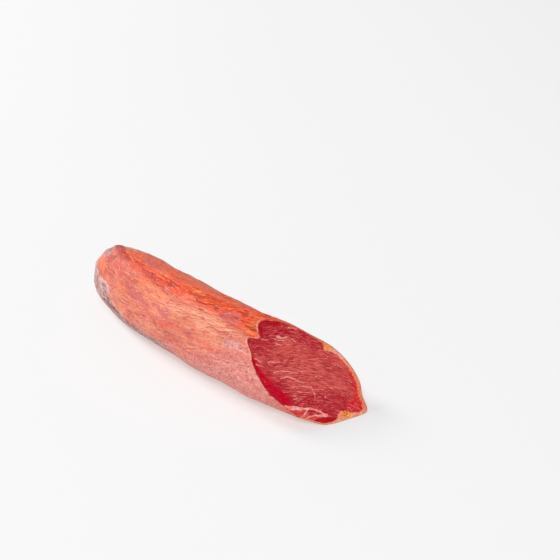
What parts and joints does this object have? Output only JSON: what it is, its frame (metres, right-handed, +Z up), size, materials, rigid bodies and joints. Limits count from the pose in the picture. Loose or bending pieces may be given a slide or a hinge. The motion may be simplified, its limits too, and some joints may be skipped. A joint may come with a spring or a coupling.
{
  "type": "cured pork loin",
  "caption": "Length of cured pork loin in its casing, with a rounded natural end and a slanted cut face that shows the lean.",
  "frame": {"origin": "on the surface it rests on, under the middle of its overall length and width", "axes": "+X along the loin from its rounded end towards the cut end, +Z up from the surface it rests on, +Y across it, towards the side that it bows to"},
  "size_m": [0.2504, 0.0664, 0.0545],
  "materials": {
    "casing": "moist satin, thin casing over lean coloured by paprika",
    "lean": "freshly cut, moist, with fine pale marbling",
    "fat": "soft satin"
  },
  "bodies": {
    "root": {"loin": "casing"}
  },
  "joints": []
}
